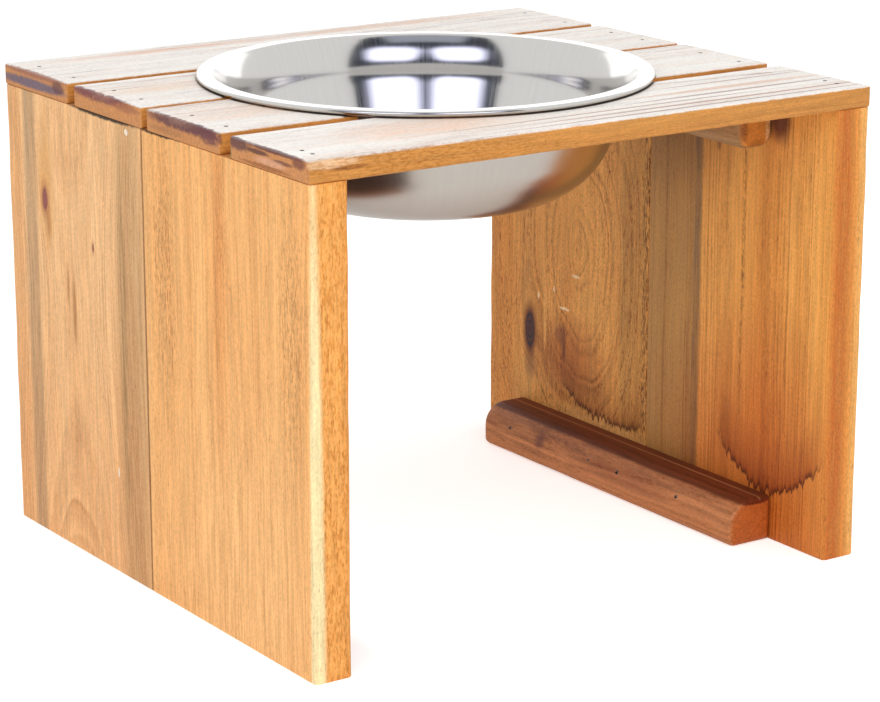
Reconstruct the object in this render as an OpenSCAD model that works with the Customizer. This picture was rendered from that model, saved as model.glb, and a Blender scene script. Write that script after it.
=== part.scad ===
// Raised feeding stand: two board sides, a slatted top and a lift-out steel bowl.
// X runs along the slats, Y to the rear and Z up, from the middle of the footprint.

/* [Stand] */
// Length of the slatted top, side to side
stand_w = 305; // [294:1:360]
// Depth of the stand, front to back
stand_d = 279; // [268:1:330]
// Height of the slatted top above the floor
stand_h = 229; // [170:1:320]

/* [Side boards] */
// Thickness of the side boards
board_t = 19; // [16:0.5:22]
// How far behind the middle the left side's seam lies
left_seam_y = 4; // [-10:0.5:14]
// How far behind the middle the right side's seam lies
right_seam_y = 0; // [-10:0.5:14]
// Radius of the front and rear vertical edges
board_edge_r = 2.5; // [0.5:0.1:5]
// Radius of the edges that meet in the seam
seam_edge_r = 0.5; // [0.1:0.1:2]

/* [Slats] */
// Thickness of the slats
slat_t = 10; // [8:0.5:13]
// Gap between the front slat and the next
front_gap = 9; // [3:0.5:12]
// Gap between the two middle slats
middle_gap = 5; // [3:0.5:12]
// Gap between the rear slat and the next
rear_gap = 7; // [3:0.5:12]
// Radius of the slats' long edges
slat_edge_r = 1.2; // [0.3:0.1:3]

/* [Lower cleats] */
// Width of the lower cleats, out from the side boards
lower_cleat_w = 25; // [16:0.5:30]
// Height of the lower cleats
lower_cleat_h = 22.5; // [16:0.5:30]
// Radius of the lower cleats' rounded top edge
lower_round_r = 12; // [2:0.5:14]
// Radius of the lower cleats' inner edge at the floor
lower_foot_r = 4; // [0.5:0.5:6]
// How far the lower cleats' front ends stand back from the front
lower_front_inset = 39; // [10:1:70]
// How far the lower cleats' rear ends stand in from the rear
lower_rear_inset = 30; // [10:1:70]

/* [Upper cleats] */
// Width of the upper cleats, out from the side boards
upper_cleat_w = 20.5; // [14:0.5:24]
// Height of the upper cleats
upper_cleat_h = 24; // [16:0.5:34]
// Radius of the upper cleats' rounded bottom edges
upper_round_r = 6; // [2:0.5:8]
// How far the upper cleats' front ends stand back from the front
upper_front_inset = 46; // [10:1:60]
// How far the upper cleats' rear ends stand in from the rear
upper_rear_inset = 36; // [10:1:60]

/* [Cleat edges] */
// Radius of the cleats' other long edges
cleat_edge_r = 1.5; // [0.3:0.1:3]
// Radius of the cleats' end corners, seen from above
cleat_end_r = 3; // [0.5:0.1:6]

/* [Nails] */
// Diameter of a nail's shank
nail_d = 1.6; // [1.2:0.1:2.2]
// Length of a nail
nail_len = 32; // [28:1:38]
// Diameter of a nail's head
nail_head_d = 2.6; // [2.2:0.1:4]
// Thickness of a nail's head
nail_head_t = 0.8; // [0.4:0.1:1.5]
// Height of the lower cleats' nails above the floor
lower_nail_z = 14; // [6:0.5:16]

/* [Bowl] */
// Outer diameter of the bowl's rim
rim_d = 216; // [190:1:222]
// Width of the flat rim, its rolled edge included
flange_w = 6.4; // [5:0.1:10]
// Diameter of the rolled edge
bead_d = 2.7; // [2:0.1:4]
// Height of the bowl, rim to base
bowl_h = 61.3; // [54:0.1:66]
// Thickness of the bowl's sheet
sheet_t = 0.8; // [0.5:0.1:1.2]
// Depth of the bowl's lip, from the rim down to the crease under it
lip_h = 17; // [10:0.5:19]
// Radius of the lip, which curves out towards the rim
lip_r = 33; // [28:1:60]
// Lean of the lip's foot from upright, in degrees
lip_lean = 8; // [2:0.5:12]
// Radius of the hollow under the crease
neck_r = 29; // [6:1:36]
// Lean of the bowl's wall from upright, in degrees
wall_lean = 23; // [14:0.1:26]
// Radius between the bowl's wall and its base
base_r = 42.3; // [24:0.1:46]
// Radius under the rim, where the lip turns flat
shoulder_r = 1.6; // [0.8:0.1:3]
// How far right of the middle the bowl sits
bowl_x = -2.5; // [-4:0.5:4]
// How far behind the middle the bowl sits
bowl_y = -1; // [-6:0.5:6]

/* [Fits] */
// Room between the bowl's lip and the hole, at the top of the slats
hole_gap = 3; // [1:0.1:4]
// Space between the bowl's rolled edge and the slats
rim_gap = 0.3; // [0.2:0.1:1]

/* [Hidden] */
LEFT = -1;
RIGHT = 1;
arc_steps = 6;
past = 1;
board_h = stand_h - slat_t;
board_mid_x = stand_w / 2 - board_t / 2;
inner_x = stand_w / 2 - board_t;
front_y = -stand_d / 2;
rear_y = stand_d / 2;

// The four slats share what the gaps leave of the depth, numbered from the front
slat_gaps = [front_gap, middle_gap, rear_gap];
slat_w = (stand_d - front_gap - middle_gap - rear_gap) / 4;
function slat_y(n) = n == 0 ? front_y : slat_y(n - 1) + slat_w + slat_gaps[n - 1];
function slat_mid_y(n) = slat_y(n) + slat_w / 2;
function gap_mid_y(n) = slat_y(n) + slat_w + slat_gaps[n] / 2;

// The bowl hangs from its rolled edge. These are the centres of the arcs in its outer face,
// from the rim down, each arc tangent to the next
function outward(lean) = [cos(lean), -sin(lean)];
rim_r = rim_d / 2;
rim_z = stand_h + rim_gap + bead_d;
shoulder = [rim_r - flange_w, rim_z - sheet_t - shoulder_r];
mouth_lean = asin((lip_h - sheet_t - shoulder_r + lip_r * sin(lip_lean)) / (lip_r - shoulder_r));
lip = shoulder + (lip_r - shoulder_r) * outward(mouth_lean);
neck = lip - (lip_r + neck_r) * outward(lip_lean);
base_z = rim_z - bowl_h;
wall_top = neck + neck_r * outward(wall_lean);
corner_z = base_z + base_r;
corner = [wall_top.x - (wall_top.y - corner_z) * tan(wall_lean) - base_r / cos(wall_lean), corner_z];
hole_r = lip.x - sqrt(pow(lip_r, 2) - pow(stand_h - lip.y, 2)) + hole_gap;

// Shares of the lower cleat's length at which its nails are driven, from the front
lower_nail_at = [0.21, 0.44, 0.555, 0.885];
lower_front_y = front_y + lower_front_inset;
lower_rear_y = rear_y - lower_rear_inset;
upper_front_y = front_y + upper_front_inset;
upper_rear_y = rear_y - upper_rear_inset;
// How far the lower cleats' rounding drops back where their nails stand
lower_nail_up = max(lower_nail_z - lower_cleat_h + lower_round_r, 0);
lower_nail_x = lower_cleat_w - lower_round_r + sqrt(pow(lower_round_r, 2) - pow(lower_nail_up, 2));
lower_nail_y = [for (share = lower_nail_at) lower_front_y + share * (lower_rear_y - lower_front_y)];
upper_nail_y = [gap_mid_y(0), slat_mid_y(1), slat_mid_y(2), gap_mid_y(2)];
// The two nails in each slat's end, front slat first, as shares of its width from its middle
slat_nail_at = [[-0.3, -0.17], [-0.34, 0.12], [-0.24, 0.16], [-0.33, 0.22]];
slat_nail_y = [for (n = [0:3], share = slat_nail_at[n]) slat_mid_y(n) + share * slat_w];

function arc(centre, r, from, to, steps = arc_steps) =
    [for (i = [0:steps]) let (a = from + (to - from) * i / steps) centre + r * [cos(a), sin(a)]];

// A rectangle from the origin, its corner radii given anticlockwise from there
function rounded_outline(w, d, r) = concat(
    arc([r[0], r[0]], r[0], 180, 270),
    arc([w - r[1], r[1]], r[1], 270, 360),
    arc([w - r[2], d - r[2]], r[2], 0, 90),
    arc([r[3], d - r[3]], r[3], 90, 180)
);

// An upright board of one side, from y0 to y1
module side_board(side, y0, y1, front_r, rear_r) {
    translate([side * board_mid_x - board_t / 2, y0, 0])
        linear_extrude(board_h)
            polygon(rounded_outline(board_t, y1 - y0, [front_r, front_r, rear_r, rear_r]));
}

module front_board(side, seam_y) {
    color("peru") side_board(side, front_y, seam_y, board_edge_r, seam_edge_r);
}

module rear_board(side, seam_y) {
    color("burlywood") side_board(side, seam_y, rear_y, seam_edge_r, board_edge_r);
}

// A bar along Y whose section has the given corner radii, set against a side board
module cleat(side, w, h, z, y0, y1, radii) {
    mirror([side == LEFT ? 1 : 0, 0, 0])
        translate([inner_x - w, y0, z])
            intersection() {
                translate([0, y1 - y0, 0])
                    rotate([90, 0, 0])
                        linear_extrude(y1 - y0)
                            polygon(rounded_outline(w, h, radii));
                linear_extrude(h)
                    polygon(rounded_outline(w, y1 - y0, [cleat_end_r, cleat_edge_r, cleat_edge_r, cleat_end_r]));
            }
}

module lower_cleat(side) {
    color("sienna")
        cleat(side, lower_cleat_w, lower_cleat_h, 0, lower_front_y, lower_rear_y,
            [lower_foot_r, cleat_edge_r, cleat_edge_r, lower_round_r]);
}

module upper_cleat(side) {
    color("chocolate")
        cleat(side, upper_cleat_w, upper_cleat_h, board_h - upper_cleat_h, upper_front_y, upper_rear_y,
            [upper_round_r, upper_round_r, cleat_edge_r, cleat_edge_r]);
}

module bowl_hole() {
    translate([bowl_x, bowl_y, board_h - past])
        cylinder(r = hole_r, h = slat_t + 2 * past, $fn = 128);
}

// A whole slat with the bowl's hole cut out of it
module cut_slat(n) {
    difference() {
        translate([-stand_w / 2, slat_y(n), board_h])
            rotate([90, 0, 90])
                linear_extrude(stand_w)
                    polygon(rounded_outline(slat_w, slat_t, [for (i = [0:3]) slat_edge_r]));
        bowl_hole();
    }
}

module outer_slat(n) {
    color("antiquewhite") cut_slat(n);
}

// The hole cuts a middle slat in two, and this keeps the piece on one side
module slat_piece(n, side) {
    color("antiquewhite")
        difference() {
            cut_slat(n);
            translate([side == LEFT ? bowl_x : -stand_w / 2 - past, slat_y(n) - past, board_h - past])
                cube([
                    side == LEFT ? stand_w / 2 + past - bowl_x : bowl_x + stand_w / 2 + past,
                    slat_w + 2 * past,
                    slat_t + 2 * past
                ]);
        }
}

// A pressed bowl as one sheet: base, rounded corner, leaning wall, lip, flat rim and rolled edge
module bowl() {
    bead_r = bead_d / 2;
    bead_join = asin((bead_r - sheet_t) / bead_r);
    color("silver")
        translate([bowl_x, bowl_y, 0])
            rotate_extrude($fn = 128)
                polygon(concat(
                    [[0, base_z]],
                    arc(corner, base_r, -90, -wall_lean, 14),
                    arc(neck, neck_r, -wall_lean, -lip_lean),
                    arc(lip, lip_r, 180 - lip_lean, 180 - mouth_lean),
                    arc(shoulder, shoulder_r, 180 - mouth_lean, 90),
                    arc([rim_r - bead_r, rim_z - bead_r], bead_r, 180 - bead_join, 450, 14),
                    arc(shoulder, shoulder_r + sheet_t, 90, 180 - mouth_lean),
                    arc(lip, lip_r + sheet_t, 180 - mouth_lean, 180 - lip_lean),
                    arc(neck, neck_r - sheet_t, -lip_lean, -wall_lean),
                    arc(corner, base_r - sheet_t, -wall_lean, -90, 14),
                    [[0, base_z + sheet_t]]
                ));
}

// A nail driven down from the origin, its head flush
module nail() {
    translate([0, 0, -nail_len])
        cylinder(d = nail_d, h = nail_len, $fn = 24);
    translate([0, 0, -nail_head_t])
        cylinder(d = nail_head_d, h = nail_head_t, $fn = 24);
}

module slat_nails(side) {
    color("dimgray")
        for (y = slat_nail_y)
            translate([side * board_mid_x, y, stand_h])
                nail();
}

// Nails driven out through a cleat into the side boards
module cleat_nails(side, w, z, places) {
    color("dimgray")
        for (y = places)
            translate([side * (inner_x - w), y, z])
                rotate([0, -side * 90, 0])
                    nail();
}

front_board(LEFT, left_seam_y);  // left_front_board
rear_board(LEFT, left_seam_y);  // left_rear_board
front_board(RIGHT, right_seam_y);  // right_front_board
rear_board(RIGHT, right_seam_y);  // right_rear_board
lower_cleat(LEFT);  // left_lower_cleat
lower_cleat(RIGHT);  // right_lower_cleat
upper_cleat(LEFT);  // left_upper_cleat
upper_cleat(RIGHT);  // right_upper_cleat
outer_slat(0);  // front_slat
slat_piece(1, LEFT);  // front_middle_slat_left
slat_piece(1, RIGHT);  // front_middle_slat_right
slat_piece(2, LEFT);  // rear_middle_slat_left
slat_piece(2, RIGHT);  // rear_middle_slat_right
outer_slat(3);  // rear_slat
bowl();
slat_nails(LEFT);  // left_slat_nails
slat_nails(RIGHT);  // right_slat_nails
cleat_nails(LEFT, lower_nail_x, lower_nail_z, lower_nail_y);  // left_lower_cleat_nails
cleat_nails(RIGHT, lower_nail_x, lower_nail_z, lower_nail_y);  // right_lower_cleat_nails
cleat_nails(LEFT, upper_cleat_w, board_h - upper_cleat_h / 2, upper_nail_y);  // left_upper_cleat_nails
cleat_nails(RIGHT, upper_cleat_w, board_h - upper_cleat_h / 2, upper_nail_y);  // right_upper_cleat_nails
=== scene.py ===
"""A raised pet feeding stand: board sides, a slatted top, cleats, nails and a lift-out steel bowl."""

import math

import bmesh
import bpy
import numpy as np
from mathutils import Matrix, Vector, noise


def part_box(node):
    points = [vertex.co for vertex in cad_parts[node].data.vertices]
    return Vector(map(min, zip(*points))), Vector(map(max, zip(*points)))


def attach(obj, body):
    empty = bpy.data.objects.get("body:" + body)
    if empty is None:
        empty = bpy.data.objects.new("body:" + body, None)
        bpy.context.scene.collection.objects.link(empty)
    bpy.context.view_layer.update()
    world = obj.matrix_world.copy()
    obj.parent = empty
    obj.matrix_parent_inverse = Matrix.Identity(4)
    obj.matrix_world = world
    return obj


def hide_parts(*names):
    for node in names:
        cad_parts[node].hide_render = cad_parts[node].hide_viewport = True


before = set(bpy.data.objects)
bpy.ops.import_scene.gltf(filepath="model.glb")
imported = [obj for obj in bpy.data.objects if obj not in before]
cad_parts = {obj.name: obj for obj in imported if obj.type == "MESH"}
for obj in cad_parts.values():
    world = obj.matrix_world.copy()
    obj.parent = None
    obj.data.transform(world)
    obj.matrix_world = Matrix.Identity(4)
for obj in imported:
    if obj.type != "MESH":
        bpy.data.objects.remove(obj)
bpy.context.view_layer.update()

MM = 0.001
LEFT = -1
RIGHT = 1
STAND = "stand"
BOWL = "bowl"

# The stand's measures in millimetres, as its CAD source has them
BOARD_EDGE_R = 2.5
SLAT_EDGE_R = 1.2
BOWL_X = -2.5
BOWL_Y = -1.0
HOLE_R = 102.19
RIM_R = 108.0
SHEET_T = 0.8
TOP_Z = 229.0
SLAT_NAIL_X = 143
SLAT_NAIL_Y = [-126.6, -118.2, -55.7, -26.0, 20.3, 46.1, 86.0, 121.4]
LOWER_NAIL_X, LOWER_NAIL_Z = 109, 14
LOWER_NAIL_Y = [-56.4, -8.1, 16.05, 85.35]
UPPER_NAIL_X, UPPER_NAIL_Z = 113, 207
UPPER_NAIL_Y = [-70.5, -33.75, 35.75, 71.5]
# The edges that meet in the seams are drawn a little more worn than in the CAD source
SEAM_EDGE_R = 0.8


def linear(hex_colour):
    """An sRGB hex colour as the linear values that Blender takes."""
    channels = [int(hex_colour[i:i + 2], 16) / 255 for i in (1, 3, 5)]
    return [c / 12.92 if c <= 0.04045 else ((c + 0.055) / 1.055) ** 2.4 for c in channels] + [1.0]


def box_mm(node_name):
    """A CAD node's lowest and highest corners in millimetres."""
    low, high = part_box(node_name)
    return [v / MM for v in low], [v / MM for v in high]


def waver(x, y, z, size):
    """A smooth value from about -1 to 1 that is the same on every run."""
    return noise.noise(Vector((x, y, z)) / size)


def output_of(value):
    """A node's output that is in use, or the value itself."""
    if isinstance(value, bpy.types.Node):
        return next(o for o in value.outputs if o.enabled)
    return value


def add(tree, kind, *values, named=None, **settings):
    """Adds a node, a shader node unless its kind says otherwise.

    Positional values fill its inputs in order, and a node or socket is linked.
    """
    made = tree.nodes.new(kind if "Node" in kind else "ShaderNode" + kind)
    for key, value in settings.items():
        setattr(made, key, value)
    for key, value in list(enumerate(values)) + list((named or {}).items()):
        value = output_of(value)
        if value is None:
            continue
        if isinstance(value, bpy.types.NodeSocket):
            tree.links.new(value, made.inputs[key])
        else:
            made.inputs[key].default_value = value
    return made


def new_material(name):
    """An empty material and its tree, ending in a Principled shader."""
    material = bpy.data.materials.new(name)
    material.use_nodes = True
    tree = material.node_tree
    tree.nodes.clear()
    shader = add(tree, "BsdfPrincipled")
    add(tree, "OutputMaterial", shader)
    return material, tree, shader


def grey_ramp(tree, value, stops):
    """A ramp of greys, from pairs of position and level."""
    ramp = add(tree, "ValToRGB", value)
    elements = ramp.color_ramp.elements
    while len(elements) < len(stops):
        elements.new(0.5)
    for element, (position, level) in zip(elements, stops):
        element.position = position
        element.color = (level, level, level, 1)
    return ramp.outputs["Color"]


GRAIN_AXES = {"X": ("X", "Y", "Z"), "Y": ("Y", "Z", "X"), "Z": ("Z", "Y", "X")}


def stretched_noise(tree, place, size_mm, seed=0.0, **settings):
    """Noise whose blobs have the given size in mm along, across and deep in the wood."""
    scaled = add(tree, "VectorMath", place, [1 / s for s in size_mm], [seed, seed * 1.7, -seed],
                 operation="MULTIPLY_ADD")
    return add(tree, "TexNoise", scaled, named={"Scale": 1.0, **settings})


def reach_of(tree, place, centre, size):
    """How far a place is from a centre, in units of an ellipsoid's half sizes."""
    offset = add(tree, "VectorMath", place, centre, operation="SUBTRACT")
    offset = add(tree, "VectorMath", offset, [1 / s for s in size], operation="MULTIPLY")
    return add(tree, "VectorMath", offset, operation="LENGTH").outputs["Value"]


def mark(at, size, tone, amount, soft=0.35, rag=2.0, pattern=None, blend="MIX"):
    """A coloured patch in the wood: an ellipsoid in mm as (along, across, deep), with a frayed edge.

    Soft is the share of its size over which it fades, rag its fraying in mm, and a pattern keeps it to
    the fibres or to the pores.
    """
    return {"at": at, "size": size, "tone": tone, "amount": amount, "soft": soft, "rag": rag,
            "pattern": pattern, "blend": blend}


def stain(*values, **settings):
    """A mark that tints the wood under it and leaves its grain showing."""
    return mark(*values, blend="MULTIPLY", **settings)


def scorch_line(tree, wood, colour, scorch):
    """A burnt area with a toothed lower edge, as a torch leaves it. Its curve is (across, along) in mm."""
    split = add(tree, "SeparateXYZ", wood)
    curve = scorch["curve"]
    first, last = curve[0][0], curve[-1][0]
    place = add(tree, "MapRange", split.outputs["Y"], first, last, 0.0, 1.0)
    top = max(along for _, along in curve)
    stops = [((across - first) / (last - first), along / top) for across, along in curve]
    edge = add(tree, "Math", grey_ramp(tree, place, stops), top, operation="MULTIPLY")
    teeth = stretched_noise(tree, wood, (60, 2.6, 60), 3.3, Detail=3.0, Roughness=0.6)
    teeth = add(tree, "Math", teeth.outputs["Fac"], 0.5, operation="SUBTRACT")
    edge = add(tree, "Math", teeth, scorch["teeth"], edge, operation="MULTIPLY_ADD")
    above = add(tree, "Math", split.outputs["X"], edge, operation="SUBTRACT")
    inside = grey_ramp(tree, place, [(0.0, 0.0), (0.12, 1.0), (0.88, 1.0), (1.0, 0.0)])
    near = add(tree, "Math", split.outputs["Z"], R_INNER, operation="SUBTRACT")
    near = add(tree, "MapRange", near, 1.0, 3.0, 1.0, 0.0)
    inside = add(tree, "Math", inside, near, operation="MULTIPLY")
    fade = grey_ramp(tree, add(tree, "MapRange", above, 0.0, scorch["reach"], 0.0, 1.0),
                     [(0.0, 1.0), (0.25, 0.6), (1.0, 0.0)])
    lit = add(tree, "MapRange", above, -0.4, 0.4, 0.0, scorch["amount"])
    shade = add(tree, "Math", fade, lit, operation="MULTIPLY")
    shade = add(tree, "Math", shade, inside, operation="MULTIPLY")
    colour = add(tree, "Mix", shade, named={6: colour, 7: linear(scorch["tone"])},
                 data_type="RGBA", blend_type="MULTIPLY")
    burnt = grey_ramp(tree, add(tree, "MapRange", above, -1.0, 3.0, 0.0, 1.0),
                      [(0.0, 0.0), (0.2, 1.0), (0.45, 0.7), (1.0, 0.0)])
    burnt = add(tree, "Math", burnt, inside, operation="MULTIPLY")
    burnt = add(tree, "Math", burnt, scorch["edge_amount"], operation="MULTIPLY")
    return add(tree, "Mix", burnt, named={6: colour, 7: linear(scorch["edge_tone"])}, data_type="RGBA")


def solid_wood(name, grain, pith, ring_mm, tones, marks=(), knots=(), seed=0.0, rings=0.5, fibres=0.12,
               wander_mm=5.0, arch=None, streaks=0.6, speckle=0.4, end_tone="#8a5530", end_amount=0.45,
               finish=None, roughness=0.55, bump=0.3, grit=0.08, scorch=None):
    """Planed softwood as a solid: rings round a pith, fibres along the grain, and marks placed in mm.

    Everything is laid out as (along, across, deep), where along follows the grain.
    """
    material, tree, shader = new_material(name)
    place = add(tree, "TexCoord").outputs["Object"]
    place = add(tree, "VectorMath", place, named={"Scale": 1 / MM}, operation="SCALE")
    split = add(tree, "SeparateXYZ", place)
    wood = add(tree, "CombineXYZ", *[split.outputs[a] for a in GRAIN_AXES[grain]])

    # Slow wandering of the grain, which bends straight lines into what a real board shows
    slow = stretched_noise(tree, wood, (190, 55, 55), seed, Detail=2.5, Roughness=0.45)
    slow = add(tree, "VectorMath", slow.outputs["Color"], [0.5, 0.5, 0.5], operation="SUBTRACT")
    bent = add(tree, "VectorMath", slow, [0, wander_mm * 2, wander_mm * 2], wood,
               operation="MULTIPLY_ADD")

    # Edges of marks are frayed along the grain by a finer noise
    ragged = stretched_noise(tree, wood, (16, 3.2, 3.2), seed + 5, Detail=4.0, Roughness=0.6)
    ragged = add(tree, "VectorMath", ragged.outputs["Color"], [0.5, 0.5, 0.5], operation="SUBTRACT")

    # The grain flows round each knot: the ring pattern is pushed away from its middle
    knot_fields = []
    for knot in knots:
        reach = reach_of(tree, wood, knot["at"], knot["size"])
        knot_fields.append(reach)
        near = add(tree, "MapRange", reach, 0.3, knot.get("reach", 4.5), 1.0, 0.0,
                   interpolation_type="SMOOTHERSTEP")
        push = add(tree, "VectorMath", wood, knot["at"], operation="SUBTRACT")
        push = add(tree, "VectorMath", push, [0, -knot.get("push", 0.75), 0], operation="MULTIPLY")
        push = add(tree, "VectorMath", push, named={"Scale": output_of(near)}, operation="SCALE")
        bent = add(tree, "VectorMath", bent, push, operation="ADD")

    # Rings: distance from the pith, with a spacing that changes slowly from ring to ring
    from_pith = add(tree, "VectorMath", bent, [0, 1, 1], [0, -pith[0], -pith[1]],
                    operation="MULTIPLY_ADD")
    if arch:
        # The pith leans away from the face above and below one height, which closes the rings to ovals
        lean = add(tree, "Math", add(tree, "SeparateXYZ", bent).outputs["X"], arch[0],
                   operation="SUBTRACT")
        lean = add(tree, "Math", lean, lean, operation="MULTIPLY")
        lean = add(tree, "Math", lean, arch[1] / 1e4, operation="MULTIPLY")
        lean = add(tree, "CombineXYZ", named={"Z": lean})
        from_pith = add(tree, "VectorMath", from_pith, lean, operation="ADD")
    radius = add(tree, "VectorMath", from_pith, operation="LENGTH").outputs["Value"]
    uneven = add(tree, "TexNoise", named={"W": radius, "Scale": 0.09, "Detail": 2.0},
                 noise_dimensions="1D")
    uneven = add(tree, "Math", uneven.outputs["Fac"], 9.0, operation="MULTIPLY")
    phase = add(tree, "Math", radius, 1 / ring_mm, uneven, operation="MULTIPLY_ADD")
    turn = add(tree, "Math", phase, operation="FRACT")
    late = grey_ramp(tree, turn, [(0.0, 0.25), (0.12, 0.0), (0.5, 0.22), (0.86, 1.0), (1.0, 0.3)])
    broken = stretched_noise(tree, wood, (22, 5, 5), seed + 13, Detail=3.0, Roughness=0.7)
    broken = add(tree, "MapRange", broken.outputs["Fac"], 0.35, 0.6, 0.35, 1.0)
    late = add(tree, "Math", late, broken, operation="MULTIPLY")
    count = add(tree, "Math", phase, operation="FLOOR")
    each = add(tree, "TexWhiteNoise", named={"W": count}, noise_dimensions="1D")
    each = add(tree, "MapRange", each.outputs["Value"], 0.0, 1.0, 0.25 * rings, 1.25 * rings)

    # Fibres and broad streaks run along the grain, and pores are short dark ticks in drifts
    fibre = stretched_noise(tree, bent, (38, 1.5, 1.5), seed, Detail=3.5, Roughness=0.68)
    broad = stretched_noise(tree, bent, (230, 10, 10), seed * 3.1, Detail=4.0, Roughness=0.62)
    broad = add(tree, "MapRange", broad.outputs["Fac"], 0.33, 0.67, 0.0, 1.0)
    pore = stretched_noise(tree, wood, (3.6, 0.9, 0.9), seed, Detail=2.0, Roughness=0.7)
    drift = stretched_noise(tree, wood, (70, 14, 14), seed + 9, Detail=2.0)
    drift = add(tree, "MapRange", drift.outputs["Fac"], 0.36, 0.62, 0.25, 1.0)
    tick = add(tree, "MapRange", pore.outputs["Fac"], 0.52, 0.7, 0.0, 1.0)
    tick = add(tree, "Math", tick, drift, operation="MULTIPLY")
    near_ring = add(tree, "MapRange", late, 0.0, 0.8, 0.35, 1.0)
    tick = add(tree, "Math", tick, near_ring, operation="MULTIPLY")
    patterns = {
        "fibre": add(tree, "MapRange", fibre.outputs["Fac"], 0.36, 0.6, 0.2, 1.0),
        "pore": add(tree, "MapRange", pore.outputs["Fac"], 0.4, 0.62, 0.0, 1.0),
    }

    light, middle, dark = [linear(t) for t in tones]
    amount = add(tree, "Math", broad, streaks, operation="MULTIPLY")
    colour = add(tree, "Mix", amount, named={6: light, 7: middle}, data_type="RGBA")
    amount = add(tree, "Math", late, each, operation="MULTIPLY")
    colour = add(tree, "Mix", amount, named={6: colour, 7: dark}, data_type="RGBA")

    # Cut ends drink more oil, so they have a tone of their own
    facing = add(tree, "SeparateXYZ", add(tree, "TexCoord").outputs["Normal"])
    facing = add(tree, "Math", facing.outputs[grain], operation="ABSOLUTE")
    cut = add(tree, "MapRange", facing, 0.55, 0.85, 0.0, end_amount)
    colour = add(tree, "Mix", cut, named={6: colour, 7: linear(end_tone)}, data_type="RGBA")

    if finish:
        colour = finish(tree, wood, colour, late, fibre, broad, pore)

    # Bands, stains and scorched patches, each an ellipsoid with a frayed edge
    for patch in marks:
        rag = patch["rag"]
        frayed = add(tree, "VectorMath", ragged, [rag * 4, rag, rag], wood, operation="MULTIPLY_ADD")
        reach = reach_of(tree, frayed, patch["at"], patch["size"])
        soft = patch["soft"]
        mask = add(tree, "MapRange", reach, 1 - soft, 1 + soft, patch["amount"], 0.0,
                   interpolation_type="SMOOTHSTEP")
        if patch["pattern"]:
            mask = add(tree, "Math", mask, patterns[patch["pattern"]], operation="MULTIPLY")
        colour = add(tree, "Mix", mask, named={6: colour, 7: linear(patch["tone"])},
                     data_type="RGBA", blend_type=patch["blend"])

    if scorch:
        colour = scorch_line(tree, wood, colour, scorch)

    # A knot is a dark eye with its own close rings, and a darker halo where the grain turns round it
    for knot, reach in zip(knots, knot_fields):
        frayed = add(tree, "Math", pore.outputs["Fac"], 0.35, reach, operation="MULTIPLY_ADD")
        halo = add(tree, "MapRange", frayed, 1.0, knot.get("halo_reach", 2.6),
                   knot.get("halo_amount", 0.7), 0.0, interpolation_type="SMOOTHSTEP")
        colour = add(tree, "Mix", halo, named={6: colour, 7: linear(knot["halo"])}, data_type="RGBA")
        eye = add(tree, "MapRange", frayed, 0.85, 1.2, 1.0, 0.0, interpolation_type="SMOOTHSTEP")
        whorl = add(tree, "Math", frayed, 21.0, operation="MULTIPLY")
        whorl = add(tree, "Math", whorl, operation="SINE")
        whorl = add(tree, "MapRange", whorl, -1.0, 1.0, 0.0, 0.45)
        heart = add(tree, "Mix", whorl,
                    named={6: linear(knot["tone"]), 7: linear(knot["halo"])}, data_type="RGBA")
        colour = add(tree, "Mix", eye, named={6: colour, 7: heart}, data_type="RGBA")

    # Fibres lighten and darken everything alike, and the pores darken it
    fine = add(tree, "MapRange", fibre.outputs["Fac"], 0.34, 0.66, 1 - fibres, 1 + fibres)
    colour = add(tree, "VectorMath", colour, named={"Scale": output_of(fine)}, operation="SCALE")
    grain_dust = stretched_noise(tree, wood, (1.5, 0.75, 0.75), seed, Detail=1.0)
    dust = add(tree, "MapRange", grain_dust.outputs["Fac"], 0.34, 0.66, 1 - grit, 1 + grit)
    colour = add(tree, "VectorMath", colour, named={"Scale": output_of(dust)}, operation="SCALE")
    amount = add(tree, "Math", tick, speckle, operation="MULTIPLY")
    colour = add(tree, "Mix", amount, named={6: colour, 7: linear("#b07c50")},
                 data_type="RGBA", blend_type="MULTIPLY")

    relief = add(tree, "Math", late, 0.5, fibre.outputs["Fac"], operation="MULTIPLY_ADD")
    relief = add(tree, "Math", tick, -0.6, relief, operation="MULTIPLY_ADD")
    lumpy = add(tree, "Bump", named={"Strength": bump, "Distance": 0.2 * MM, "Height": relief})
    worn = add(tree, "MapRange", fibre.outputs["Fac"], 0.3, 0.7, roughness - 0.08, roughness + 0.08)
    tree.links.new(output_of(colour), shader.inputs["Base Color"])
    tree.links.new(output_of(worn), shader.inputs["Roughness"])
    tree.links.new(output_of(lumpy), shader.inputs["Normal"])
    shader.inputs["IOR"].default_value = 1.45
    shader.inputs["Specular IOR Level"].default_value = 0.3
    return material


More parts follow.
